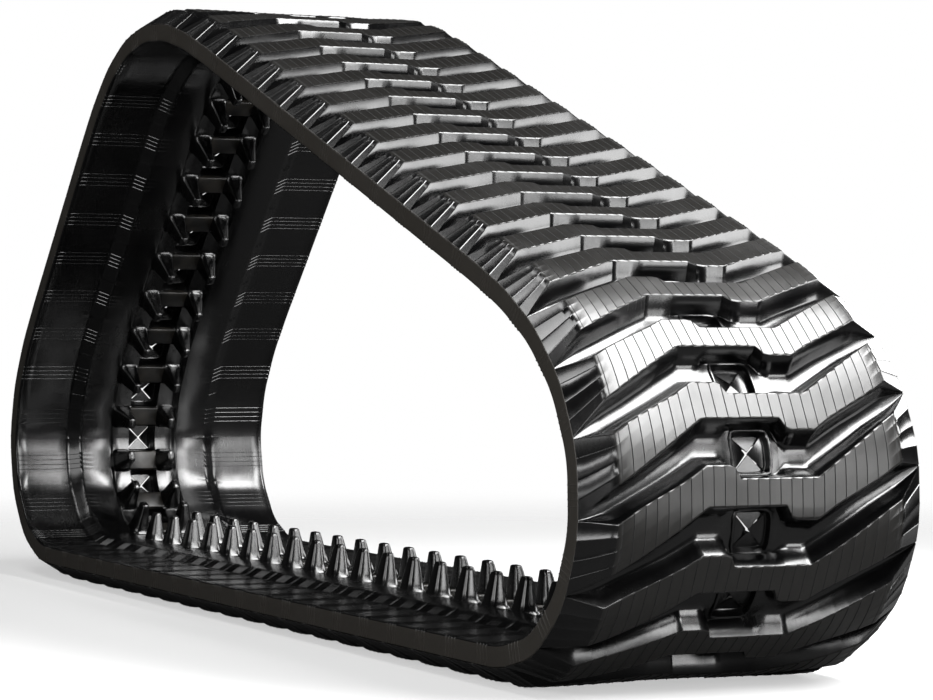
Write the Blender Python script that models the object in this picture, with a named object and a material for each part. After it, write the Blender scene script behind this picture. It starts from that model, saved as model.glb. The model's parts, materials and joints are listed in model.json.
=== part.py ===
"""Rubber crawler track, 450 mm wide, 56 links of 86 mm pitch, standing as a free loop.

The loop is modelled flat and then laid round its path. Flat coordinates are s along the loop,
y across it and n inwards from the pitch line. Each link is straight, as its steel core keeps it,
and the loop turns in the middle of the windows between two cores.
"""
import math

import bmesh
import bpy
import numpy as np
from mathutils import Matrix, Vector

MM = 0.001

# The size code of the track
WIDTH = 450.0
PITCH = 86.0
LINKS = 56

# Path of the pitch line: front corner, apex and rear corner, with straight strands between them
TURNS = (160.2, 66.0, 133.8)
ARCS = (726.0, 621.0, 564.0)
EASES = ((0.05, 0.5), (0.5, 0.31), (0.5, 0.05))
FIRST_LINK = 4.4
CORNER_STEPS = 200

# Belt section
TREAD_FACE = -14.0
WING_FACE = 10.7
PATH_FACE = 22.0
TROUGH_FACE = 16.0
PATH_OUTER = 112.0
PATH_INNER = 56.0
STEP_FOOT = 130.0
TROUGH_HALF = 52.0

# Windows between the cores, and the stretch at each core that keeps its length in a bend
WINDOW_HALF_WIDTH = 24.0
STIFF_HALF = 20.0
WINDOW_LENGTH = PITCH - 2 * STIFF_HALF

# Tread lugs: one half of the outline of a lug, which is the same turned half a turn
LUG_TOP = -40.0
LUG_FOOT = -13.0
LUG_TOP_HALF = ((-28.0, -186.0), (16.0, -90.0), (16.0, 72.0), (72.0, 184.0))
LUG_FOOT_HALF = ((-29.0, -221.0), (19.5, -90.0), (19.5, 72.0), (108.0, 221.0))

# Steel core: a plate and two horns
PLATE_HALF_WIDTH = 120.0
PLATE_HALF_LENGTH = 15.0
PLATE_BOTTOM = -3.0
PLATE_TOP = 15.0
HORN_BASE_Y = 39.0
HORN_BASE_WIDTH = 26.0
HORN_TIP_Y = 35.5
HORN_TIP_WIDTH = 10.0
HORN_TIP_LENGTH = 15.0
HORN_TIP = 62.0
RELIEF_TOP = 30.0

# Two bands of steel cord bonded to the undersides of the plates
BAND_Y = 81.0
BAND_WIDTH = 38.0
BAND_BOTTOM = -6.0
BAND_TOP = -2.0

GAP = 0.3
OVERLAP = 2.0

# Windows that hold a hinge, counted from link 0, and the one where the loop is cut
HINGE_WINDOWS = {"front_foot": 19.5, "front_shoulder": 25.5, "rear_foot": -1.5, "rear_shoulder": -6.5}
CUT_WINDOW = 37.5
SWAY_LIMIT = math.radians(5.0)
HINGE_PLAY = 0.8

RUBBER_LOOK = ((0.020, 0.020, 0.021, 1.0), 0.0, 0.35)
STEEL_LOOK = ((0.30, 0.27, 0.23, 1.0), 1.0, 0.45)


class Loop:
    """The pitch line as sampled points, with s = 0 at the centre of link 0."""

    def __init__(self):
        turns = np.radians(TURNS)
        headings = np.concatenate([[0.0], np.cumsum(turns)[:2]])
        corners = [self.corner(*values) for values in zip(headings, turns, ARCS, EASES)]
        ends = np.array([corner[-1, :2] for corner in corners])
        rows = np.array([np.cos(headings), np.sin(headings), np.ones(3)])
        wanted = [-ends[:, 0].sum(), -ends[:, 1].sum(), PITCH * LINKS - sum(ARCS)]
        strands = np.linalg.solve(rows, wanted)
        samples = []
        s, place = -FIRST_LINK, np.zeros(2)
        for heading, strand, arc, corner in zip(headings, strands, ARCS, corners):
            samples.append([s, *place, heading])
            s += strand
            place = place + strand * np.array([math.cos(heading), math.sin(heading)])
            steps = np.linspace(0.0, arc, CORNER_STEPS + 1)
            points = np.column_stack([s + steps, place + corner[:, :2], corner[:, 2]])
            samples.extend(points[:-1])
            s, place = s + arc, place + corner[-1, :2]
        samples.append([s, *place, 2 * math.pi])
        self.samples = np.array(samples, dtype=float)

    @staticmethod
    def corner(heading, turn, arc, ease):
        """Points and headings through one corner, where curvature eases in and out."""
        part = np.linspace(0.0, 1.0, CORNER_STEPS + 1)
        peak = 1.0 / (1.0 - sum(ease) / 2.0)
        bend = np.interp(part, [0.0, ease[0], 1.0 - ease[1], 1.0], [0.0, peak, peak, 0.0]) * turn
        angle = heading + np.concatenate([[0.0], np.cumsum(bend[1:] + bend[:-1]) / 2 / CORNER_STEPS])
        step = arc / CORNER_STEPS
        x = np.concatenate([[0.0], np.cumsum(np.cos(angle[1:]) + np.cos(angle[:-1])) / 2 * step])
        z = np.concatenate([[0.0], np.cumsum(np.sin(angle[1:]) + np.sin(angle[:-1])) / 2 * step])
        return np.column_stack([x, z, angle])

    def frame(self, s):
        """Place, direction of travel and inward normal of the pitch line at s."""
        start = self.samples[0, 0]
        s = (s - start) % (PITCH * LINKS) + start
        x, z, angle = (np.interp(s, self.samples[:, 0], self.samples[:, i]) for i in (1, 2, 3))
        along = Vector((math.cos(angle), 0.0, math.sin(angle)))
        inward = Vector((-math.sin(angle), 0.0, math.cos(angle)))
        return Vector((x, 0.0, z)), along, inward

    def turning_point(self, window):
        """Where the straight links on both sides of a window meet, and the fold between them."""
        place, _, inward = self.frame(window * PITCH)
        before = self.frame((window - 0.5) * PITCH)[1]
        after = self.frame((window + 0.5) * PITCH)[1]
        return place, inward / math.cos(before.angle(after) / 2)

    def lay(self, link, point):
        """Where a flat point, measured from a link's centre, lies on the loop."""
        s, y, n = point
        step = round(s / PITCH)
        local = s - step * PITCH
        rear, rear_fold = self.turning_point(link + step - 0.5)
        front, front_fold = self.turning_point(link + step + 0.5)
        middle = (rear + front) / 2
        along = (front - rear).normalized()
        inward = Vector((-along.z, 0.0, along.x))
        stiff = max(-STIFF_HALF, min(STIFF_HALF, local))
        place = middle + along * stiff + inward * n
        part = abs(local - stiff) / (PITCH / 2 - STIFF_HALF)
        fold = (front + front_fold * n) if local > 0 else (rear + rear_fold * n)
        return place.lerp(fold, part) + Vector((0.0, y, 0.0))


def collection(name, hidden=False):
    made = bpy.data.collections.new(name)
    bpy.context.scene.collection.children.link(made)
    made.hide_render = hidden
    return made


def solid(name, mesh_data, where):
    mesh = bpy.data.meshes.new(name)
    bmesh.ops.recalc_face_normals(mesh_data, faces=mesh_data.faces)
    mesh_data.to_mesh(mesh)
    mesh_data.free()
    made = bpy.data.objects.new(name, mesh)
    where.objects.link(made)
    return made


def add_frustum(target, centre, low_size, high_size, n_range, lean=0.0):
    """A block whose top may be smaller than its foot, with the top shifted across by lean."""
    low, high = n_range
    verts = bmesh.ops.create_cube(target, size=1.0)["verts"]
    for vert in verts:
        top = vert.co.z > 0
        size = high_size if top else low_size
        shift = lean if top else 0.0
        s = centre[0] + vert.co.x * size[0]
        vert.co = Vector((s, centre[1] + shift + vert.co.y * size[1], high if top else low))


def add_block(target, centre, size, n_range):
    add_frustum(target, centre, size, size, n_range)


def belt_section():
    """Half the outline of the belt across its width, as (y, n) from the rim to the trough."""
    half = WIDTH / 2
    return (
        (half, TREAD_FACE),
        (half, WING_FACE),
        (STEP_FOOT, WING_FACE),
        (PATH_OUTER, PATH_FACE),
        (PATH_INNER, PATH_FACE),
        (TROUGH_HALF, TROUGH_FACE),
    )


def flat_belt(links):
    target = bmesh.new()
    half = belt_section()
    outline = list(half) + [(-y, n) for y, n in reversed(half)]
    start = -PITCH / 2 + GAP / 2
    verts = [target.verts.new((start, y, n)) for y, n in outline]
    face = target.faces.new(verts)
    grown = bmesh.ops.extrude_face_region(target, geom=[face])["geom"]
    moved = [item for item in grown if isinstance(item, bmesh.types.BMVert)]
    bmesh.ops.translate(target, verts=moved, vec=(links * PITCH - GAP, 0.0, 0.0))
    return target


def flat_lugs(links):
    """The lugs of a section and of its neighbours, which reach over its ends."""
    target = bmesh.new()
    for link in range(-2, links + 2):
        rings = []
        for half, n in ((LUG_TOP_HALF, LUG_TOP), (LUG_FOOT_HALF, LUG_FOOT)):
            whole = list(half) + [(-s, -y) for s, y in half]
            rings.append([target.verts.new((s + link * PITCH, y, n)) for s, y in whole])
        top, foot = rings
        target.faces.new(top)
        target.faces.new(foot)
        for i in range(len(top)):
            after = (i + 1) % len(top)
            target.faces.new((top[i], top[after], foot[after], foot[i]))
    bmesh.ops.triangulate(target, faces=target.faces)
    return target


def window_cutter(links):
    target = bmesh.new()
    size = (WINDOW_LENGTH, 2 * WINDOW_HALF_WIDTH)
    for link in range(-1, links):
        middle = (link + 0.5) * PITCH
        add_block(target, (middle, 0.0), size, (LUG_TOP - OVERLAP, RELIEF_TOP))
    return target


def plate_cutter(links):
    target = bmesh.new()
    size = (2 * (PLATE_HALF_LENGTH + GAP), 2 * (PLATE_HALF_WIDTH + GAP))
    for link in range(links):
        add_block(target, (link * PITCH, 0.0), size, (PLATE_BOTTOM - GAP, PLATE_TOP + GAP))
    return target


def trough_cutter(links):
    target = bmesh.new()
    size = (2 * (PLATE_HALF_LENGTH + 2 * GAP), 2 * (TROUGH_HALF + 2 * GAP))
    for link in range(links):
        add_block(target, (link * PITCH, 0.0), size, (PLATE_BOTTOM + 2 * OVERLAP, RELIEF_TOP))
    return target


def band_cutter(links):
    target = bmesh.new()
    size = (links * PITCH + 2 * OVERLAP, BAND_WIDTH + 2 * GAP)
    for side in (-1, 1):
        centre = ((links - 1) * PITCH / 2, side * BAND_Y)
        add_block(target, centre, size, (BAND_BOTTOM - GAP, BAND_TOP + GAP))
    return target


def end_cutter(links):
    target = bmesh.new()
    size = (links * PITCH - GAP, WIDTH + 2 * OVERLAP)
    add_block(target, ((links - 1) * PITCH / 2, 0.0), size, (LUG_TOP - OVERLAP, RELIEF_TOP))
    return target


def combine(base, tool, operation):
    step = base.modifiers.new(tool.name, "BOOLEAN")
    step.operation = operation
    step.solver = "EXACT"
    step.object = tool
    tool.display_type = "WIRE"


def finished_flat(made, links):
    """The evaluated mesh, cleaned, and split in the windows where the loop turns."""
    graph = bpy.context.evaluated_depsgraph_get()
    mesh = bpy.data.meshes.new_from_object(made.evaluated_get(graph))
    target = bmesh.new()
    target.from_mesh(mesh)
    bpy.data.meshes.remove(mesh)
    bmesh.ops.remove_doubles(target, verts=target.verts, dist=0.01)
    bmesh.ops.dissolve_limit(
        target, angle_limit=math.radians(0.5), verts=target.verts, edges=target.edges
    )
    for link in range(1, links):
        whole = list(target.verts) + list(target.edges) + list(target.faces)
        middle = ((link - 0.5) * PITCH, 0.0, 0.0)
        bmesh.ops.bisect_plane(
            target, geom=whole, dist=0.001, plane_co=middle, plane_no=(1.0, 0.0, 0.0)
        )
    bmesh.ops.triangulate(target, faces=target.faces)
    return target


def flat_rubber(links, cutters):
    made = solid(f"flat_rubber_{links}", flat_belt(links), cutters)
    steps = (
        ("lugs", flat_lugs, "UNION"),
        ("ends", end_cutter, "INTERSECT"),
        ("windows", window_cutter, "DIFFERENCE"),
        ("plates", plate_cutter, "DIFFERENCE"),
        ("trough", trough_cutter, "DIFFERENCE"),
        ("bands", band_cutter, "DIFFERENCE"),
    )
    for name, shape, operation in steps:
        combine(made, solid(f"{name}_{links}", shape(links), cutters), operation)
    return finished_flat(made, links)


def flat_plates(links):
    target = bmesh.new()
    size = (2 * PLATE_HALF_LENGTH, 2 * PLATE_HALF_WIDTH)
    for link in range(links):
        add_block(target, (link * PITCH, 0.0), size, (PLATE_BOTTOM, PLATE_TOP))
    return target


def flat_horns(links):
    target = bmesh.new()
    low_size = (2 * PLATE_HALF_LENGTH, HORN_BASE_WIDTH)
    high_size = (HORN_TIP_LENGTH, HORN_TIP_WIDTH)
    for link in range(links):
        for side in (-1, 1):
            centre = (link * PITCH, side * HORN_BASE_Y)
            lean = side * (HORN_TIP_Y - HORN_BASE_Y)
            n_range = (PLATE_TOP - OVERLAP / 2, HORN_TIP)
            add_frustum(target, centre, low_size, high_size, n_range, lean)
    return target


def flat_bands(links):
    target = bmesh.new()
    size = (links * PITCH - GAP, BAND_WIDTH)
    for side in (-1, 1):
        centre = ((links - 1) * PITCH / 2, side * BAND_Y)
        add_block(target, centre, size, (BAND_BOTTOM, BAND_TOP))
    return target


def flat_cores(links, cutters):
    made = solid(f"flat_cores_{links}", flat_plates(links), cutters)
    for name, shape in (("horns", flat_horns), ("cords", flat_bands)):
        combine(made, solid(f"{name}_{links}", shape(links), cutters), "UNION")
    return finished_flat(made, links)


def hinge_play(n):
    """How far a section's end face stands back from the middle of a window that holds a hinge."""
    return HINGE_PLAY + abs(n) * math.tan(SWAY_LIMIT) / 2


def laid_mesh(name, flat, links, loop, first, hinged):
    """A flat mesh laid round the loop from link `first`, with its hinged ends cut back."""
    target = flat.copy()
    low = -PITCH / 2 + GAP / 2
    high = (links - 0.5) * PITCH - GAP / 2
    for vert in target.verts:
        s, y, n = vert.co
        if hinged[0] and s < low + GAP:
            s += hinge_play(n)
        if hinged[1] and s > high - GAP:
            s -= hinge_play(n)
        vert.co = loop.lay(first, (s, y, n)) * MM
    mesh = bpy.data.meshes.new(name)
    target.to_mesh(mesh)
    target.free()
    return mesh


def body_spans():
    """Each body with its first link and the one after its last."""
    rear_top = HINGE_WINDOWS["rear_shoulder"] + LINKS
    return (
        ("ground_strand", HINGE_WINDOWS["rear_foot"], HINGE_WINDOWS["front_foot"]),
        ("front_leg", HINGE_WINDOWS["front_foot"], HINGE_WINDOWS["front_shoulder"]),
        ("front_top", HINGE_WINDOWS["front_shoulder"], CUT_WINDOW),
        ("rear_top", CUT_WINDOW, rear_top),
        ("rear_leg", rear_top, HINGE_WINDOWS["rear_foot"] + LINKS),
    )


def sections():
    """Every section as (body, first link, number of links), two links where they fit."""
    for body, start, end in body_spans():
        link, last = math.ceil(start), math.ceil(end)
        while link < last:
            count = min(2, last - link)
            yield body, link, count
            link += count


def hinge_axes(loop):
    """A point on each hinge's axis. Both legs get the same span, so the loop stays closed."""
    raw = {name: loop.frame(window * PITCH)[0] for name, window in HINGE_WINDOWS.items()}
    front = raw["front_shoulder"] - raw["front_foot"]
    rear = raw["rear_shoulder"] - raw["rear_foot"]
    share = (front - rear) / 4
    toward = {"front_foot": 1, "front_shoulder": -1, "rear_foot": -1, "rear_shoulder": 1}
    return {name: (raw[name] + share * toward[name]) * MM for name in raw}


def finish(name, look):
    colour, metallic, roughness = look
    made = bpy.data.materials.new(name)
    made.use_nodes = True
    shader = made.node_tree.nodes["Principled BSDF"]
    shader.inputs["Base Color"].default_value = colour
    shader.inputs["Metallic"].default_value = metallic
    shader.inputs["Roughness"].default_value = roughness
    made.diffuse_color = colour
    return made


def centring(meshes):
    """The shift that stands the loop on the ground with its middle over the origin."""
    points = np.array([vert.co for mesh in meshes for vert in mesh.vertices])
    low, high = points.min(axis=0), points.max(axis=0)
    return Vector((-(low[0] + high[0]) / 2, 0.0, -low[2]))


def add_hinges(axes, shift, where):
    """Empties on the hinge axes: the shoulders hang from the feet."""
    empties = {}
    for name, place in axes.items():
        empty = bpy.data.objects.new(name + "_axis", None)
        empty.empty_display_size = 0.1
        where.objects.link(empty)
        empty.location = place + shift
        empties[name] = empty
    for leg in ("front", "rear"):
        upper, lower = empties[leg + "_shoulder"], empties[leg + "_foot"]
        upper.parent = lower
        upper.location = axes[leg + "_shoulder"] - axes[leg + "_foot"]
    return empties


def main():
    for old in list(bpy.data.objects):
        bpy.data.objects.remove(old)
    track = collection("rubber_track")
    cutters = collection("cutters", hidden=True)
    loop = Loop()
    flats = {}
    for links in (1, 2):
        flats["rubber", links] = flat_rubber(links, cutters)
        flats["cores", links] = flat_cores(links, cutters)

    hinge_windows = {window % LINKS for window in HINGE_WINDOWS.values()}
    laid = []
    for number, (body, first, links) in enumerate(sections(), 1):
        ends = (first - 0.5, first + links - 0.5)
        hinged = [end % LINKS in hinge_windows for end in ends]
        for kind, stem in (("rubber", "rubber_section"), ("cores", "steel_cores")):
            name = f"{stem}_{number:02d}"
            mesh = laid_mesh(name, flats[kind, links], links, loop, first, hinged)
            laid.append((name, kind, body, mesh))

    shift = centring([mesh for *_, mesh in laid])
    empties = add_hinges(hinge_axes(loop), shift, track)
    carriers = {
        "front_leg": empties["front_foot"],
        "front_top": empties["front_shoulder"],
        "rear_leg": empties["rear_foot"],
        "rear_top": empties["rear_shoulder"],
    }
    bpy.context.view_layer.update()
    for name, kind, body, mesh in laid:
        mesh.transform(Matrix.Translation(shift))
        mesh.materials.append(finish(name, RUBBER_LOOK if kind == "rubber" else STEEL_LOOK))
        made = bpy.data.objects.new(name, mesh)
        track.objects.link(made)
        if body in carriers:
            made.parent = carriers[body]
            made.matrix_parent_inverse = carriers[body].matrix_world.inverted()

    for flat in flats.values():
        flat.free()
    for spare in list(cutters.objects):
        bpy.data.objects.remove(spare)
    bpy.data.collections.remove(cutters)


main()
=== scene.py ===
# %% [markdown]
# # A rubber crawler track, standing as a free loop
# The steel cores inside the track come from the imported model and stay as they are. This script
# makes the rubber that is moulded round them: tread lugs, carcass, guide horns, and the slit flaps
# that close the sprocket windows. Everything is modelled flat, where a pitch is simple to
# think about, and is then laid round the loop.

# %% Load the frame
import json
import math

import bmesh
import bpy
import numpy as np
from mathutils import Matrix, Quaternion, Vector


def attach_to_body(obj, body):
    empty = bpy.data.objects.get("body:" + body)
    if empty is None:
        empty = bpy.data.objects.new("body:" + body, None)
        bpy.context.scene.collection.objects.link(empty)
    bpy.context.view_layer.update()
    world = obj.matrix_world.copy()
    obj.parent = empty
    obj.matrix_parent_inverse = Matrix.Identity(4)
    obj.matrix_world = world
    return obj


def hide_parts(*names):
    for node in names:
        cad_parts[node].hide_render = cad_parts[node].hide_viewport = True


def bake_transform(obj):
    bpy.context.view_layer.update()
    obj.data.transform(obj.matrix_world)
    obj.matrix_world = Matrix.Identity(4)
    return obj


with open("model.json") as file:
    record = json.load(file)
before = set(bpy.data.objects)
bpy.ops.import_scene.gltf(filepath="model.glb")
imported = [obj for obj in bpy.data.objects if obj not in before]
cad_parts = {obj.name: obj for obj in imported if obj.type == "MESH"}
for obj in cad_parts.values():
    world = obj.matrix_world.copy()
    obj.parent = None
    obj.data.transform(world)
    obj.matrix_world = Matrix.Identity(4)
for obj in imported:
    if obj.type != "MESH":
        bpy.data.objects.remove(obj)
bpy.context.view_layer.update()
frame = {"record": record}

joints = {joint["name"]: joint for joint in frame["record"]["behaviour"]["joints"]}

# %% [markdown]
# ## The path of the loop
# A rubber track can only bend between its steel cores. So each link is a short straight stretch
# and the rubber in the windows bends. The loop has three corners with strands between them. The
# strands' lengths are not free: they are whatever closes the loop at its full length.

# %% Driving sizes, in millimetres
MM = 0.001
WIDTH = 450.0
PITCH = 86.0
LINKS = 56
HALF = WIDTH / 2
TURNS = (160.2, 66.0, 133.8)
ARCS = (726.0, 621.0, 564.0)
EASES = ((0.05, 0.5), (0.5, 0.31), (0.5, 0.05))
FIRST_LINK = 4.4
CORNER_STEPS = 200
STIFF_HALF = 16.0
LINE_PITCH = 14.5
LINE_HALF = 0.5
HINGES = {"front_foot": 19.5, "front_shoulder": 25.5, "rear_foot": -1.5, "rear_shoulder": -6.5}


def corner_points(heading, turn, arc, ease):
    """Points and headings through one corner, where curvature eases in and out."""
    part = np.linspace(0.0, 1.0, CORNER_STEPS + 1)
    peak = 1.0 / (1.0 - sum(ease) / 2.0)
    bend = np.interp(part, [0.0, ease[0], 1.0 - ease[1], 1.0], [0.0, peak, peak, 0.0]) * turn
    angle = heading + np.concatenate([[0.0], np.cumsum(bend[1:] + bend[:-1]) / 2 / CORNER_STEPS])
    step = arc / CORNER_STEPS
    x = np.concatenate([[0.0], np.cumsum(np.cos(angle[1:]) + np.cos(angle[:-1])) / 2 * step])
    z = np.concatenate([[0.0], np.cumsum(np.sin(angle[1:]) + np.sin(angle[:-1])) / 2 * step])
    return np.column_stack([x, z, angle])


def loop_samples():
    """The pitch line as rows of s, x, z and heading, with s = 0 at the centre of link 0."""
    turns = np.radians(TURNS)
    headings = np.concatenate([[0.0], np.cumsum(turns)[:2]])
    corners = [corner_points(*values) for values in zip(headings, turns, ARCS, EASES)]
    ends = np.array([corner[-1, :2] for corner in corners])
    rows = np.array([np.cos(headings), np.sin(headings), np.ones(3)])
    strands = np.linalg.solve(rows, [*-ends.sum(axis=0), PITCH * LINKS - sum(ARCS)])
    samples, s, place = [], -FIRST_LINK, np.zeros(2)
    for heading, strand, arc, corner in zip(headings, strands, ARCS, corners):
        samples.append([s, *place, heading])
        s += strand
        place = place + strand * np.array([math.cos(heading), math.sin(heading)])
        steps = np.linspace(0.0, arc, CORNER_STEPS + 1)
        samples.extend(np.column_stack([s + steps, place + corner[:, :2], corner[:, 2]])[:-1])
        s, place = s + arc, place + corner[-1, :2]
    samples.append([s, *place, 2 * math.pi])
    return np.array(samples), strands


samples, strands = loop_samples()
print("strands", np.round(strands), "mm")


def pitch_line(s):
    """Points on the pitch line, in the loop's own x and z."""
    start = samples[0, 0]
    s = (np.asarray(s, float) - start) % (PITCH * LINKS) + start
    return np.column_stack([np.interp(s, samples[:, 0], samples[:, i]) for i in (1, 2)])


# %% [markdown]
# The frame says where the hinges are, so one of them tells how far the loop was shifted when it
# was stood on the ground. The others check that this path is the one that the cores lie on.

# %% Place the path in the frame
raw = {name: pitch_line([window * PITCH])[0] for name, window in HINGES.items()}
share = (raw["front_shoulder"] - raw["front_foot"] - raw["rear_shoulder"] + raw["rear_foot"]) / 4
signs = {"front_foot": 1, "front_shoulder": -1, "rear_foot": -1, "rear_shoulder": 1}
axes = {name: raw[name] + share * signs[name] for name in raw}
held = {name: np.array(joints[name + "_sway"]["pos_m"])[[0, 2]] / MM for name in raw}
SHIFT = held["front_foot"] - axes["front_foot"]
miss = max(np.abs(held[name] - axes[name] - SHIFT).max() for name in raw)
print("shift", np.round(SHIFT, 2), "mm, hinges agree to", round(float(miss), 3), "mm")

folds = pitch_line((np.arange(LINKS + 1) - 0.5) * PITCH) + SHIFT
middles = (folds[:-1] + folds[1:]) / 2
alongs = folds[1:] - folds[:-1]
alongs /= np.linalg.norm(alongs, axis=1)[:, None]
inwards = np.column_stack([-alongs[:, 1], alongs[:, 0]])


def lay(flat):
    """Flat points (s, y, n) in mm to places on the loop in metres."""
    s, y, n = flat.T
    step = np.round(s / PITCH).astype(int)
    local = s - step * PITCH
    low = np.where(local < -STIFF_HALF, step - 1, step)
    run = s - low * PITCH
    a, b = low % LINKS, (low + 1) % LINKS
    bending = run > STIFF_HALF
    reach = np.where(bending, STIFF_HALF, run)[:, None]
    start = middles[a] + alongs[a] * reach + inwards[a] * n[:, None]
    end = middles[b] - alongs[b] * STIFF_HALF + inwards[b] * n[:, None]
    t = np.where(bending, (run - STIFF_HALF) / (PITCH - 2 * STIFF_HALF), 0.0)[:, None]
    third = np.linalg.norm(end - start, axis=1)[:, None] / 3
    pull_a, pull_b = start + alongs[a] * third, end - alongs[b] * third
    bent = (1 - t) ** 3 * start + 3 * t * (1 - t) ** 2 * pull_a
    bent = bent + 3 * t**2 * (1 - t) * pull_b + t**3 * end
    place = np.where(bending[:, None], bent, start)
    return np.column_stack([place[:, 0], y, place[:, 1]]) * MM


# %% Studio sizes, in metres
FLOOR_HALF = 5.0
FLOOR_DROP = 0.0006
FLOOR_FADE = (1.3, 3.4)
FLOOR_COVER = 0.5
FLOOR_PALE = (0.80, 0.80, 0.80)
FLOOR_IN_GLOSS = (0.14, 0.14, 0.14)
ROOM_LIGHT = 0.035
# name, place, width and height, power, what it is turned to
LIGHTS = (
    ("overhead_softbox", (1.78, 0.98, 2.25), (3.1, 0.85), 220.0, (1.05, 0.0, 0.35)),
    ("far_side_softbox", (0.35, 1.50, 0.80), (1.9, 0.50), 26.0, (0.35, 0.0, 0.72)),
    ("near_side_softbox", (1.40, -2.40, 1.30), (2.2, 0.8), 22.0, (0.30, 0.0, 0.70)),
    ("end_softbox", (4.20, 1.90, 1.00), (0.4, 1.8), 36.0, (0.30, 0.0, 0.75)),
    ("front_softbox", (4.30, -2.00, 1.75), (0.9, 2.2), 75.0, (0.30, 0.0, 0.75)),
    ("near_softbox", (-0.10, -0.90, 2.60), (1.9, 0.7), 26.0, (0.90, -0.2, 0.60)),
    ("side_softbox", (0.35, 0.50, 0.40), (0.2, 0.45), 2.6, (-1.0, -0.18, 0.2)),
)
CAMERA_LENS = 119.3
CAMERA_SENSOR = 36.0
CAMERA_SIGHT = 100.0
CAMERA_PLACE = (4.0568, -1.8114, 0.4301)
CAMERA_AHEAD = (-0.9012, 0.4332, -0.0098)
CAMERA_ROLL = 0.3

# %% [markdown]
# ## Helpers for flat modelling
# A skin starts as a bmesh grid with a column for each station along the belt and a row for each
# station across it. A short function then says where each crossing goes. That keeps clean edge
# loops along every mould edge, which is what gives moulded rubber its crisp highlights.

# %% Grid skins and rings
RING_POINTS = 28
WELD = 0.05


def new_skin(columns, rows, place):
    """A grid of columns x rows whose crossings are put at place(column, row) = (s, y, n)."""
    mesh = bmesh.new()
    bmesh.ops.create_grid(mesh, x_segments=columns - 1, y_segments=rows - 1, size=1.0)
    for vert in mesh.verts:
        i = round((vert.co.x + 1) / 2 * (columns - 1))
        j = round((vert.co.y + 1) / 2 * (rows - 1))
        vert.co = place(i, j)
    return mesh


def stack(centre, levels, square, closed=True):
    """A tube through levels of (half_s, half_y, n, shift across), closed to a point at its end."""
    if closed:
        levels = (*levels, (0.0, 0.0, levels[-1][2] + 0.1, levels[-1][3]))

    def place(i, j):
        turn = 2 * math.pi * (i + 0.5) / RING_POINTS
        c, s = math.cos(turn), math.sin(turn)
        size = (abs(c) ** square + abs(s) ** square) ** (-1 / square)
        half_s, half_y, n, shift = levels[j]
        return centre[0] + half_s * c * size, centre[1] + shift + half_y * s * size, n

    tube = new_skin(RING_POINTS + 1, len(levels), place)
    bmesh.ops.remove_doubles(tube, verts=tube.verts, dist=0.001)
    return tube


def flat_copies(source, links):
    """One flat bmesh copied to each link of a list, joined into one."""
    sheet = bpy.data.meshes.new("pitch")
    source.to_mesh(sheet)
    joined = bmesh.new()
    for link in links:
        before = len(joined.verts)
        joined.from_mesh(sheet)
        joined.verts.ensure_lookup_table()
        bmesh.ops.translate(joined, verts=joined.verts[before:], vec=(link * PITCH, 0.0, 0.0))
    bpy.data.meshes.remove(sheet)
    return joined


def join(target, source):
    """Adds one bmesh to another and frees it."""
    sheet = bpy.data.meshes.new("part")
    source.to_mesh(sheet)
    source.free()
    target.from_mesh(sheet)
    bpy.data.meshes.remove(sheet)


def finish_piece(name, mesh, material, sharp=38.0):
    """Weld, lay round the loop, keep flat places as the UV map, and shade smooth."""
    bmesh.ops.remove_doubles(mesh, verts=mesh.verts, dist=WELD)
    data = bpy.data.meshes.new(name)
    mesh.to_mesh(data)
    mesh.free()
    flat = np.empty(len(data.vertices) * 3)
    data.vertices.foreach_get("co", flat)
    flat = flat.reshape(-1, 3)
    corner_verts = np.empty(len(data.loops), int)
    data.loops.foreach_get("vertex_index", corner_verts)
    layer = data.uv_layers.new(name="belt")
    layer.data.foreach_set("uv", (flat[corner_verts][:, :2] * MM).ravel())
    height = data.attributes.new("height", "FLOAT", "POINT")
    height.data.foreach_set("value", flat[:, 2].astype(np.float32))
    data.vertices.foreach_set("co", lay(flat).ravel())
    data.polygons.foreach_set("use_smooth", [True] * len(data.polygons))
    data.set_sharp_from_angle(angle=math.radians(sharp))
    data.materials.append(material)
    made = bpy.data.objects.new(name, data)
    bpy.context.scene.collection.objects.link(made)
    print(name, len(data.polygons), "faces")
    return made


# %% [markdown]
# ## Materials
# Shader maths is written as Python. A small class wraps a socket, and +, - and * add Math
# nodes. The belt's UV map holds the flat place in metres, so stains and scuffs follow the belt
# round its corners. A second value kept on the mesh, called height, is the level in millimetres.

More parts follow.
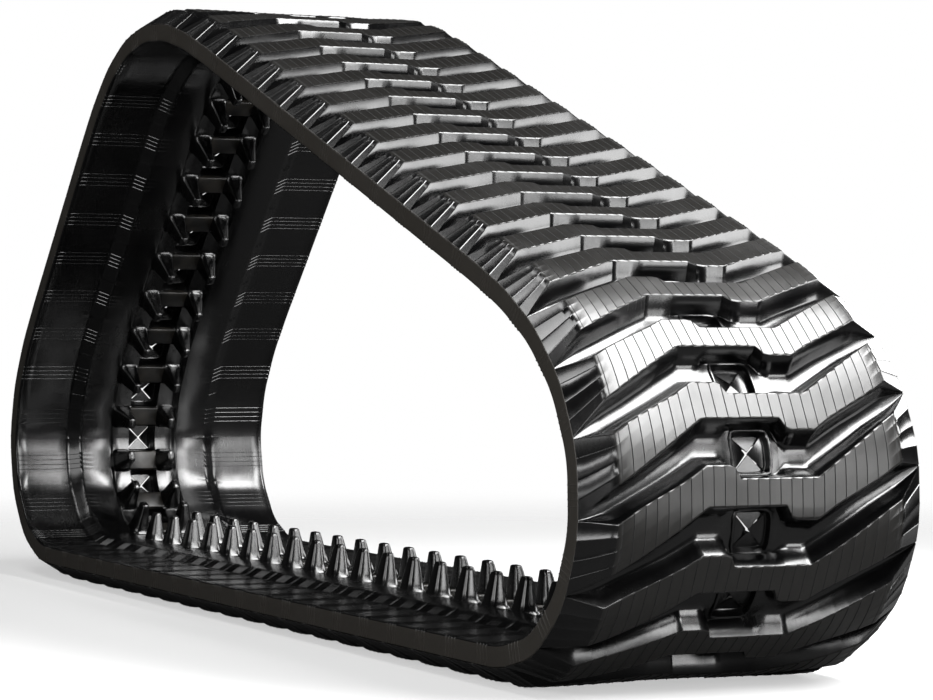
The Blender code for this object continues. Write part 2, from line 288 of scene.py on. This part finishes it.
# %% Sockets as values
class Ink:
    """A socket that can be used in Python expressions."""

    def __init__(self, tree, socket):
        self.tree, self.socket = tree, socket

    def node(self, kind, settings=(), out=0, **inputs):
        """Adds a node. Settings come first, then the values or links of its sockets."""
        made = self.tree.nodes.new("ShaderNode" + kind)
        for key, value in dict(settings).items():
            setattr(made, key, value)
        for key, value in inputs.items():
            key = int(key[1:]) if key[0] == "i" and key[1:].isdigit() else key.replace("_", " ")
            if isinstance(value, Ink):
                self.tree.links.new(value.socket, made.inputs[key])
            else:
                made.inputs[key].default_value = value
        return Ink(self.tree, made.outputs[out])

    def maths(self, operation, a, b=0.5):
        """Adds a Math node. An operation on one value takes no notice of b."""
        return self.node("Math", {"operation": operation}, i0=a, i1=b)

    def __add__(self, other):
        return self.maths("ADD", self, other)

    def __sub__(self, other):
        return self.maths("SUBTRACT", self, other)

    def __rsub__(self, other):
        return self.maths("SUBTRACT", other, self)

    def __mul__(self, other):
        return self.maths("MULTIPLY", self, other)

    __radd__, __rmul__ = __add__, __mul__

    def between(self, low, high):
        """0 below low, 1 above high, smooth between."""
        settings = {"interpolation_type": "SMOOTHSTEP"}
        return self.node("MapRange", settings, Value=self, From_Min=low, From_Max=high)

    def mix(self, a, b):
        """Colour a where this is 0 and b where it is 1."""
        made = self.tree.nodes.new("ShaderNodeMix")
        made.data_type = "RGBA"
        for index, value in ((0, self), (6, a), (7, b)):
            if isinstance(value, Ink):
                self.tree.links.new(value.socket, made.inputs[index])
            else:
                made.inputs[index].default_value = (*value, 1.0)
        return Ink(self.tree, made.outputs[2])


def new_material(name, **values):
    """A material with a Principled shader, and an Ink to start expressions from."""
    made = bpy.data.materials.new(name)
    made.use_nodes = True
    shader = made.node_tree.nodes["Principled BSDF"]
    for key, value in values.items():
        shader.inputs[key.replace("_", " ")].default_value = value
    start = Ink(made.node_tree, shader.outputs[0])
    return made, shader, start


def feed(shader, ink, socket):
    """Links a value to one of the shader's sockets."""
    ink.tree.links.new(ink.socket, shader.inputs[socket])


# %% [markdown]
# ### Moulded rubber
# New track rubber is almost black. The mould leaves it smooth and a little uneven, so what one
# sees is mostly soft reflections. A thin bloom of dust greys it where it lies open. Lug tops are
# duller than the walls, because the mould face there is coarser and they have touched the floor.

# %% Rubber materials
CLEAN_RUBBER = (0.0004, 0.0004, 0.0005)
BLOOMED_RUBBER = (0.0013, 0.0012, 0.0012)
RIM_RUBBER = (0.022, 0.019, 0.015)
TOP_RUBBER = (0.0045, 0.0042, 0.0037)
DUSTY_TOP_RUBBER = (0.0080, 0.0073, 0.0063)
LINE_RUBBER = (0.0010, 0.0010, 0.0010)
RIM_FADE = (HALF * MM - 0.0007, HALF * MM - 0.0002)
TOP_FADE = (-40.2, -38.6)
LINE_FADE = (0.035, 0.055)


def rubber(name, tops=False):
    """Moulded rubber. With tops, the lug tops are duller and their mould lines are black."""
    made, shader, ink = new_material(name, Roughness=0.3, Specular_IOR_Level=0.6)
    place = ink.node("TexCoord", out=3)
    belt = ink.node("UVMap", {"uv_map": "belt"})
    cloud = ink.node("TexNoise", Vector=place, Scale=9.0, Detail=4.0, Roughness=0.55)
    grain = ink.node("TexNoise", Vector=place, Scale=420.0, Detail=3.0, Roughness=0.6)
    wave = ink.node("TexNoise", Vector=place, Scale=38.0, Detail=2.0)
    stretched = ink.node("Mapping", Vector=belt, Scale=(14.0, 160.0, 1.0))
    streak = ink.node("TexNoise", Vector=stretched, Scale=1.0, Detail=3.0, Roughness=0.6)
    bloom = cloud.between(0.42, 0.72) * 0.6 + streak.between(0.5, 0.8) * 0.25
    colour = bloom.mix(CLEAN_RUBBER, BLOOMED_RUBBER)
    rough = 0.17 + bloom * 0.14 + grain * 0.05
    across = ink.node("SeparateXYZ", Vector=belt, out=1)
    rim = across.maths("ABSOLUTE", across).between(*RIM_FADE)
    colour = rim.mix(colour, RIM_RUBBER)
    rough = rough + rim * 0.3
    if tops:
        height = ink.node("Attribute", {"attribute_name": "height"}, out=2)
        top = 1.0 - height.between(*TOP_FADE)
        scuff = ink.node("TexNoise", Vector=stretched, Scale=2.2, Detail=5.0, Roughness=0.7)
        dusty = scuff.between(0.35, 0.75).mix(TOP_RUBBER, DUSTY_TOP_RUBBER)
        colour = top.mix(colour, dusty)
        cell = across * (1.0 / (LINE_PITCH * MM))
        cell = cell.maths("FRACT", cell) - 0.5
        line = top * (1.0 - cell.maths("ABSOLUTE", cell).between(*LINE_FADE))
        colour = line.mix(colour, LINE_RUBBER)
        rough = rough + top * (0.08 + scuff * 0.08) + line * 0.5
    feed(shader, colour, "Base Color")
    feed(shader, rough, "Roughness")
    fine = ink.node("Bump", Height=grain, Strength=0.02, Distance=0.0003)
    broad = ink.node("Bump", Height=wave, Strength=0.12, Distance=0.0012, Normal=fine)
    feed(shader, broad, "Normal")
    return made


carcass_rubber = rubber("carcass_rubber")
tread_rubber = rubber("tread_rubber", tops=True)


WORN_SKIN = ((0.003, 0.0028, 0.0025), (0.016, 0.0138, 0.011))
MILL_SCALE = ((0.06, 0.055, 0.05), (0.24, 0.22, 0.19))


def rubbed_bar():
    """The bars that the sprocket pushes on: a thin rubber skin rubbed to a bronze sheen."""
    made, shader, ink = new_material("rubbed_bar", Metallic=0.25, Roughness=0.3)
    place = ink.node("TexCoord", out=3)
    scratch = ink.node("TexNoise", Vector=place, Scale=160.0, Detail=4.0, Roughness=0.7)
    cloud = ink.node("TexNoise", Vector=place, Scale=30.0, Detail=3.0)
    worn = cloud.between(0.35, 0.65)
    feed(shader, worn.mix(*WORN_SKIN), "Base Color")
    feed(shader, 0.28 + scratch * 0.2, "Roughness")
    feed(shader, ink.node("Bump", Height=scratch, Strength=0.15, Distance=0.0004), "Normal")
    return made


def core_steel():
    """Forged steel with mill scale, as the cores look where the rubber leaves them bare."""
    made, shader, ink = new_material("forged_core_steel", Metallic=0.9, Roughness=0.45)
    place = ink.node("TexCoord", out=3)
    scale = ink.node("TexNoise", Vector=place, Scale=60.0, Detail=5.0, Roughness=0.65)
    bare = scale.between(0.45, 0.7)
    feed(shader, bare.mix(*MILL_SCALE), "Base Color")
    feed(shader, 0.32 + scale * 0.3, "Roughness")
    feed(shader, ink.node("Bump", Height=scale, Strength=0.3, Distance=0.0008), "Normal")
    return made


bar_finish = rubbed_bar()
steel_finish = core_steel()
for name in [row["node"] for row in frame["record"]["subparts"]]:
    if name.startswith("steel_cores"):
        for slot in bpy.data.objects[name].material_slots:
            slot.material = steel_finish
print("materials", [m.name for m in bpy.data.materials])

# %% [markdown]
# ## Tread
# Each link carries one zigzag lug across the full width. Its near arm rises to a flat over the
# core, steps, and its far arm rises on to the other rim. It is the same turned half a turn, so
# one edge gives the other. The skin's columns follow the lug: every wall, edge and fillet is one
# clean line from rim to rim. Past the ends of the lug tops the lug slopes down to the rim, and
# the grooves close to a V.

# %% Lug edges and heights across the belt
LUG_TOP = -40.0
FLOOR = -14.0
EDGE_Y = (-225.0, -186.0, -74.0, -38.0, -30.0, 71.0, 184.0, 225.0)
EDGE_S = (-27.0, -28.0, 28.0, 28.0, 16.0, 16.0, 74.0, 111.0)
TOP_END = 184.0
ROUND_END = 191.0
RIM_TOP = -15.5
DRAFT = 9.0
MIDDLE_DRAFT = 4.0
FILLET = 9.0
FULL_GAP = 42.0
END_HALF = 0.9
END_RISE = 0.9
LINE_RISE = 0.58
END_LINES = (-0.26, 0.0, 0.26)
HALF_TOP = len(END_LINES) * 3 // 2
STEP_ROWS = (24.0, 26.5, 30.0, 44.0, 71.0, 74.0, 80.0)
END_ROWS = (TOP_END, TOP_END + 3, ROUND_END, ROUND_END + 3, 204.0, 214.0, HALF)
LINE_COUNT = int(TOP_END // LINE_PITCH)
LINE_ROWS = {(i + 0.5) * LINE_PITCH for i in range(-LINE_COUNT, LINE_COUNT)}


def upper_edge(y):
    """Where along the belt the lug top ends, towards the next lug."""
    return float(np.interp(y, EDGE_Y, EDGE_S))


def lower_edge(y):
    """Where along the belt the lug top starts."""
    return -upper_edge(-y)


def top_height(y):
    """The lug top's level, which rounds off and then slopes to the rim."""
    reach = (TOP_END, TOP_END + 3.0, ROUND_END, HALF)
    return float(np.interp(abs(y), reach, (LUG_TOP, LUG_TOP + 0.8, LUG_TOP + 4.0, RIM_TOP)))


def middle_share(y):
    """1 over the windows, 0 on the arms."""
    return float(np.interp(abs(y), (30.0, 44.0), (1.0, 0.0)))


def groove_profile(y):
    """(s, n) from one lug's upper edge to the next one's lower edge, one place per column."""
    low, high = upper_edge(y), lower_edge(y) + PITCH
    gap, top = high - low, top_height(y)
    depth = FLOOR - top
    full = depth / (FLOOR - LUG_TOP)
    middle = middle_share(y)
    run = min((DRAFT + (MIDDLE_DRAFT - DRAFT) * middle) * full, 0.36 * gap)
    fillet = FILLET * (1 - middle) * min(1.0, gap / FULL_GAP) * full + 0.8
    fillet = min(fillet, gap / 2 - run - 0.4)
    edge = min(1.6, 0.12 * gap) * max(full, 0.15)
    wall = [
        (-edge - 0.7, 0.0),
        (-edge, 0.0),
        (-edge * 0.3, 0.22 * edge),
        (0.25 * edge, 1.0 * edge),
        (run * 0.5, depth * 0.52),
        (run * 0.86, depth - 0.42 * fillet),
        (run + 0.22 * fillet, depth - 0.14 * fillet),
        (run + 0.58 * fillet, depth - 0.03 * fillet),
        (run + fillet, depth),
    ]
    rising = [(low + s, top + n) for s, n in wall]
    falling = [(high - s, top + n) for s, n in reversed(wall)]
    return rising + [((low + high) / 2, FLOOR)] + falling


def top_columns(y, link):
    """Columns over the top of a lug, with three mould lines where it slopes to the rim."""
    low, high = lower_edge(y), upper_edge(y)
    centre, width = (low + high) / 2, high - low
    rise = END_RISE * float(abs(y) > TOP_END + 1)
    top = top_height(y)
    columns = []
    for share in END_LINES:
        for offset, lift in ((-END_HALF, 0.0), (0.0, rise), (END_HALF, 0.0)):
            columns.append((centre + share * width + offset, top - lift))
    return [(s + link * PITCH, n) for s, n in columns]


def tread_rows():
    """Stations across the belt: rims, ends, window edges, and three for each mould line."""
    rows = set()
    for y in STEP_ROWS + END_ROWS:
        rows.update((y, -y))
    for y in LINE_ROWS:
        rows.update((y - LINE_HALF, y, y + LINE_HALF))
    return sorted(rows)


rows_across = tread_rows()


def tread_line(y, links):
    """All columns of a row: for each link the lug top, then the groove after it."""
    columns = []
    lift = LINE_RISE if y in LINE_ROWS else 0.0
    for link in links:
        columns += [(s, n - lift) for s, n in top_columns(y, link)]
        groove = [(s + link * PITCH, n) for s, n in groove_profile(y)]
        for end in (0, 1, -2, -1):
            groove[end] = (groove[end][0], groove[end][1] - lift)
        columns += groove
    last = links[-1] + 1
    columns += [(s, n - lift) for s, n in top_columns(y, last)[: HALF_TOP + 1]]
    return columns[HALF_TOP:]


def tread_skin(links):
    """The outside of a stretch, from the middle of one lug top to the middle of another."""
    lines = [tread_line(y, links) for y in rows_across]

    def place(i, j):
        s, n = lines[j][i]
        return s, rows_across[j], n

    skin = new_skin(len(lines[0]), len(lines), place)
    holes = []
    for face in skin.faces:
        middle = face.calc_center_median()
        local = (middle.x / PITCH - 0.5) % 1.0
        near_window = abs(local - 0.5) > 0.5 - WINDOW_HALF_LENGTH / PITCH
        if near_window and abs(middle.y) < WINDOW_HALF_WIDTH and middle.z > FLOOR - 0.5:
            holes.append(face)
    bmesh.ops.delete(skin, geom=holes, context="FACES")
    bmesh.ops.reverse_faces(skin, faces=skin.faces)
    return skin


print("tread rows", len(rows_across), "and mould lines", len(LINE_ROWS))

# %% [markdown]
# ## Windows
# The sprocket's teeth come through square windows between the cores. The mould leaves a thin
# rubber skin across each one, cut in an X, so that dirt stays out and a tooth can push through.
# Each window is a stack of rounded square rings, from a raised rim on the tread side down to the
# skin, and out to the funnel on the roller side. The four flaps are one flap, spun round.

# %% One window and its four flaps
WINDOW_HALF_WIDTH = 24.0
WINDOW_HALF_LENGTH = 23.0
FLAP_LEVEL = -5.0
FLAP_THICK = 1.8
SLIT = 0.06
TIP = 0.1
FLAP_CURL = 5.0
FLAP_STEPS = (5, 6)
TROUGH = 16.0
WALL_SQUARE = 7.0


def window_flaps():
    """Four triangles with a slit between them, their tips bent a little out of the way."""
    mesh = bmesh.new()
    half_s, half_y = WINDOW_HALF_LENGTH - 0.5, WINDOW_HALF_WIDTH - 1.5
    for quarter in range(4):
        flap = bmesh.ops.create_grid(
            mesh, x_segments=FLAP_STEPS[0], y_segments=FLAP_STEPS[1], size=1.0
        )["verts"]
        turn = quarter * math.pi / 2
        for vert in flap:
            reach = TIP + (1 - TIP) * (vert.co.x + 1) / 2
            across = vert.co.y * max(reach - SLIT, 0.0)
            x = reach * math.cos(turn) - across * math.sin(turn)
            y = reach * math.sin(turn) + across * math.cos(turn)
            curl = FLAP_CURL * (1 - reach) ** 2 * (1 if quarter % 2 else -0.4)
            vert.co = Vector((x * half_s, y * half_y, curl))
    bmesh.ops.remove_doubles(mesh, verts=mesh.verts, dist=0.01)
    bmesh.ops.recalc_face_normals(mesh, faces=mesh.faces)
    bmesh.ops.solidify(mesh, geom=mesh.faces, thickness=FLAP_THICK)
    bmesh.ops.translate(mesh, verts=mesh.verts, vec=(PITCH / 2, 0.0, FLAP_LEVEL))
    return mesh


def window_wall():
    """Rounded square rings from the rim on the tread side through to the roller side."""
    levels = (
        (25.4, 27.0, FLOOR + 1.0, 0.0),
        (25.2, 26.8, FLOOR - 1.2, 0.0),
        (24.4, 26.0, FLOOR - 1.9, 0.0),
        (23.0, 24.4, FLOOR - 1.8, 0.0),
        (22.2, 23.4, FLOOR - 1.0, 0.0),
        (21.2, 22.2, FLAP_LEVEL - 2.2, 0.0),
        (20.0, 20.6, FLAP_LEVEL - 0.4, 0.0),
        (20.4, 21.0, FLAP_LEVEL + 2.0, 0.0),
        (22.0, 22.0, FLAP_LEVEL + 3.0, 0.0),
        (24.0, 23.4, 6.0, 0.0),
        (26.0, 24.4, 12.0, 0.0),
        (27.6, 25.4, TROUGH - 0.8, 0.0),
        (29.6, 27.4, TROUGH - 0.2, 0.0),
    )
    wall = stack((PITCH / 2, 0.0), levels, WALL_SQUARE, closed=False)
    bmesh.ops.reverse_faces(wall, faces=wall.faces)
    return wall


window = window_wall()
join(window, window_flaps())
print("one window", len(window.faces), "faces")

# %% [markdown]
# ## Carcass
# Seen from the roller side, the belt has two low wings, a chamfered step up to each roller path,
# and a trough between the paths. The skin's rows follow that outline round the rim to the tread.
# At every core the mould has four vent lines. A fifth, in the middle of the window, shows only on
# the chamfered step.

# %% Outline across the belt and stations along it
PATH = 22.0
VENT_LINES = (-12.0, -4.0, 4.0, 12.0)
VENT_HALF = 0.45
WINDOW_VENT = 0.6
BENDS = (STIFF_HALF, 21.0, 27.0, 34.0)
CHAMFER = (110.0, 132.0)
# y, n, and how far a vent line stands up there, across and inwards
HALF_OUTLINE = (
    (HALF - 0.9, FLOOR - 1.4, 0.0, 0.0),
    (HALF, FLOOR - 0.2, 0.2, 0.0),
    (HALF, -6.0, 0.3, 0.0),
    (HALF, 2.0, 0.3, 0.0),
    (HALF, 7.4, 0.4, 0.0),
    (HALF - 0.4, 9.2, 0.6, 0.3),
    (HALF - 1.6, 10.6, 0.4, 0.6),
    (HALF - 3.4, 11.1, 0.1, 0.7),
    (HALF - 6.0, 11.0, 0.0, 0.5),
    (HALF - 7.6, 10.3, 0.0, 0.35),
    (HALF - 20.0, 10.3, 0.0, 0.32),
    (180.0, 10.4, 0.0, 0.32),
    (150.0, 10.4, 0.0, 0.32),
    (136.0, 10.5, 0.0, 0.4),
    (131.5, 11.0, 0.1, 0.4),
    (128.5, 12.6, 0.2, 0.4),
    (122.0, 16.6, 0.2, 0.4),
    (115.5, 20.4, 0.2, 0.4),
    (112.8, 21.6, 0.1, 0.4),
    (109.5, PATH, 0.0, 0.0),
    (84.0, PATH + 0.3, 0.0, 0.0),
    (61.0, PATH, 0.0, 0.0),
    (58.4, 21.4, 0.0, 0.0),
    (56.0, 19.2, 0.0, 0.0),
    (53.4, 17.0, 0.0, 0.0),
    (50.0, TROUGH, 0.0, 0.0),
    (40.0, TROUGH, 0.0, 0.0),
    (27.0, TROUGH, 0.0, 0.0),
    (WINDOW_HALF_WIDTH, TROUGH, 0.0, 0.0),
)
outline = [(-y, n, -dy, dn) for y, n, dy, dn in HALF_OUTLINE] + list(reversed(HALF_OUTLINE))


def stations():
    """Stations along one pitch, as (s from the core, how much of a vent line stands there)."""
    found = [(-PITCH / 2, WINDOW_VENT), (-PITCH / 2 + VENT_HALF, 0.0)]
    found += [(-s, 0.0) for s in reversed(BENDS)]
    for s in VENT_LINES:
        found += [(s - VENT_HALF, 0.0), (s, 1.0), (s + VENT_HALF, 0.0)]
    found += [(s, 0.0) for s in (*BENDS, PITCH / 2 - VENT_HALF)]
    return found


def carcass_skin(links):
    """The roller side and the rims of a stretch, with holes where its windows are."""
    along = [(s + link * PITCH, lift) for link in links for s, lift in stations()]
    along.append(((links[-1] + 0.5) * PITCH, WINDOW_VENT))

    def place(i, j):
        s, lift = along[i]
        y, n, dy, dn = outline[j]
        if lift < 1.0 and not CHAMFER[0] < abs(y) < CHAMFER[1]:
            lift = 0.0
        return s, y + dy * lift, n + dn * lift

    skin = new_skin(len(along), len(outline), place)
    holes = []
    for face in skin.faces:
        middle = face.calc_center_median()
        local = (middle.x / PITCH) % 1.0
        between = STIFF_HALF / PITCH < local < 1 - STIFF_HALF / PITCH
        if between and abs(middle.y) < WINDOW_HALF_WIDTH:
            holes.append(face)
    bmesh.ops.delete(skin, geom=holes, context="FACES")
    return skin


print("outline places", len(outline), "and stations in a pitch", len(stations()))

# %% [markdown]
# ## Guide horns and bridge bars
# A pair of horns on each core keeps the track under its rollers. Each is a tapered peg with a
# round tip and a foot that flares into the trough, so it is a stack of rings that get smaller.
# The bar between the horns is what the sprocket's teeth push on, and it is rubbed shiny.

# %% One pair of horns and one bar
HORN_Y = 39.0
HORN_BASE, HORN_TIP = 15.0, 62.0
HORN_LEAN = -3.5
HORN_SQUARE = 4.5
BAR_WIDE = 52.0
BAR_BOTTOM, BAR_TOP = 6.0, 18.8
BAR_LONG_BOTTOM, BAR_LONG_TOP = 34.5, 33.0
BAR_ROUND = 3.2


def horn_level(n):
    """The horn skin at height n: a rounded square that tapers and leans inwards."""
    share = (n - HORN_BASE) / (HORN_TIP - HORN_BASE)
    return 17.9 - 9.1 * share, 15.4 - 9.4 * share, n, HORN_LEAN * share


def horn_pair():
    """Both horns of a core: the far one, and its mirror image."""
    foot = ((21.5, 18.6, TROUGH - 0.6, 0.0), (19.4, 16.8, TROUGH + 0.9, 0.0))
    sides = tuple(horn_level(n) for n in (20.5, 30.0, 40.0, 50.0, 58.0, 61.6))
    tip = ((8.0, 5.2, 62.7), (6.0, 3.8, 63.5), (3.0, 1.9, 63.9))
    tip = tuple((*level, HORN_LEAN) for level in tip)
    mesh = stack((0.0, HORN_Y), foot + sides + tip, HORN_SQUARE)
    near = mesh.copy()
    for vert in near.verts:
        vert.co.y = -vert.co.y
    join(mesh, near)
    bmesh.ops.recalc_face_normals(mesh, faces=mesh.faces)
    return mesh


def bridge_bar():
    """A bar with rounded edges, a little longer at its foot than at its top."""
    mesh = bmesh.new()
    verts = bmesh.ops.create_cube(mesh, size=1.0)["verts"]
    for vert in verts:
        top = vert.co.z > 0
        long = BAR_LONG_TOP if top else BAR_LONG_BOTTOM
        vert.co = Vector((vert.co.x * long, vert.co.y * BAR_WIDE, BAR_TOP if top else BAR_BOTTOM))
    bmesh.ops.bevel(
        mesh,
        geom=mesh.edges[:],
        offset=BAR_ROUND,
        segments=3,
        profile=0.5,
        affect="EDGES",
        material=-1,
    )
    return mesh


horns = horn_pair()
bar = bridge_bar()
print("horns", len(horns.faces), "faces, bar", len(bar.faces), "faces")

# %% [markdown]
# ## Stretches of the loop
# The rubber is split where the loop hinges. Real rubber over a hinge bends from the body before it
# to the one after it; here a stretch over a hinge only has its transform baked and is tied to
# neither body. The stretches between hinges are rigid. Their ends meet in the middle of lug tops
# and windows, where nothing shows.

# %% Build every stretch
HALF_BLEND = PITCH
CARCASS_SHARP = 31.0
# name, first link, link after the last, body before, body after
STRETCHES = (
    ("ground", 2, 17, "root", None),
    ("front_foot", 17, 23, "root", "front_leg"),
    ("front_shoulder", 23, 29, "front_leg", "front_top"),
    ("slope", 29, 38, "front_top", None),
    ("apex", 38, 47, "rear_top", None),
    ("rear_shoulder", 47, 53, "rear_top", "rear_leg"),
    ("rear_foot", 53, 58, "rear_leg", "root"),
)


def attach(piece, stretch, before, after):
    """A stretch rides on one body. One over a hinge is tied to neither; only its transform is
    baked.
    """
    if after is None:
        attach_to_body(piece, before)
        return
    axis = held[stretch]
    link = int(HINGES[stretch] - 0.5) % LINKS
    way = alongs[link] + alongs[(link + 1) % LINKS]
    way = way / np.linalg.norm(way) * HALF_BLEND
    ends = [(axis + side * way) * MM for side in (-1, 1)]
    start, end = ((end[0], 0.0, end[1]) for end in ends)
    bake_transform(piece)
    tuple(start)
    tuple(end)


def section_of(link):
    """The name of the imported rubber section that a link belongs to."""
    link = (link + 1) % LINKS - 1
    starts = [*range(-1, 19, 2), 19, *range(20, 54, 2), 54]
    number = 1 + max(i for i, start in enumerate(starts) if start <= link)
    return f"rubber_section_{number:02d}"


for stretch, first, end, before, after in STRETCHES:
    links = list(range(first, end))
    tread = finish_piece(f"tread_{stretch}", tread_skin(links), tread_rubber)
    belt = carcass_skin(links)
    join(belt, flat_copies(window, links))
    carcass = finish_piece(f"carcass_{stretch}", belt, carcass_rubber, CARCASS_SHARP)
    pegs = finish_piece(f"guide_horns_{stretch}", flat_copies(horns, links), carcass_rubber)
    bars = finish_piece(f"bridge_bars_{stretch}", flat_copies(bar, links), bar_finish)
    for piece in (tread, carcass, pegs, bars):
        attach(piece, stretch, before, after)
    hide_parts(*sorted({section_of(link) for link in links}))

print("pieces", 4 * len(STRETCHES))

# %% [markdown]
# ## Floor, light and camera
# A plain pale floor and a white room. Black rubber shows little but reflections, so each soft
# light stands where one kind of face mirrors it: the overhead and end ones for the lug tops on
# the front corner, the far side one for the near arms' walls on the slope, the near ones for the
# lug ends, the front one for the core steps, and the small side one for the wings at the back.

# %% Floor
def floor_paint():
    """Pale board that fades out into the room. Glossy things see it darker, like a grey card."""
    made, shader, ink = new_material("floor_paint", Roughness=0.8, Specular_IOR_Level=0.2)
    place = ink.node("TexCoord", out=3)
    cloud = ink.node("TexNoise", Vector=place, Scale=0.7, Detail=2.0)
    pale = cloud.mix(FLOOR_PALE, tuple(part * 1.03 for part in FLOOR_PALE))
    seen_in_gloss = ink.node("LightPath", out=3)
    feed(shader, seen_in_gloss.mix(pale, FLOOR_IN_GLOSS), "Base Color")
    reach = ink.node("VectorMath", {"operation": "LENGTH"}, out=1, Vector=place)
    feed(shader, FLOOR_COVER - reach.between(*FLOOR_FADE) * FLOOR_COVER, "Alpha")
    return made


floor_mesh = bmesh.new()
bmesh.ops.create_grid(floor_mesh, x_segments=1, y_segments=1, size=FLOOR_HALF)
floor_data = bpy.data.meshes.new("floor")
floor_mesh.to_mesh(floor_data)
floor_mesh.free()
floor_data.materials.append(floor_paint())
floor = bpy.data.objects.new("floor", floor_data)
floor.location.z = -FLOOR_DROP
bpy.context.scene.collection.objects.link(floor)
print("floor", 2 * FLOOR_HALF, "m square")


# %% Lights
def soft_light(name, place, size, power, target):
    """A rectangular softbox with its long side in the loop's plane, turned to its target."""
    data = bpy.data.lights.new(name, "AREA")
    data.shape, data.size, data.size_y, data.energy = "RECTANGLE", size[0], size[1], power
    made = bpy.data.objects.new(name, data)
    back = (Vector(place) - Vector(target)).normalized()
    long = Vector((1.0, 0.0, 0.0))
    long = (long - back * long.dot(back)).normalized()
    turn = Matrix((long, back.cross(long), back)).transposed()
    made.matrix_world = Matrix.Translation(place) @ turn.to_4x4()
    made.visible_camera = False
    bpy.context.scene.collection.objects.link(made)


for values in LIGHTS:
    soft_light(*values)

world = bpy.data.worlds.new("room")
world.use_nodes = True
tree = world.node_tree
room = Ink(tree, tree.nodes["Background"].outputs[0])
shown_to_eye = room.node("LightPath")
strength = ROOM_LIGHT + shown_to_eye * (1.0 - ROOM_LIGHT)
tree.links.new(strength.socket, tree.nodes["Background"].inputs["Strength"])
tree.nodes["Background"].inputs["Color"].default_value = (1.0, 1.0, 1.0, 1.0)
bpy.context.scene.world = world
bpy.context.scene.view_settings.view_transform = "Standard"
print("lights", [values[0] for values in LIGHTS])

# %% Camera
lens = bpy.data.cameras.new("camera")
lens.lens = CAMERA_LENS
lens.sensor_width = CAMERA_SENSOR
lens.clip_end = CAMERA_SIGHT
camera = bpy.data.objects.new("camera", lens)
camera.location = CAMERA_PLACE
ahead = Vector(CAMERA_AHEAD).normalized()
camera.rotation_mode = "QUATERNION"
level = ahead.to_track_quat("-Z", "Y")
camera.rotation_quaternion = level @ Quaternion((0.0, 0.0, 1.0), math.radians(CAMERA_ROLL))
bpy.context.scene.collection.objects.link(camera)
bpy.context.scene.camera = camera
print("camera at", CAMERA_PLACE, "with a lens of", CAMERA_LENS, "mm")
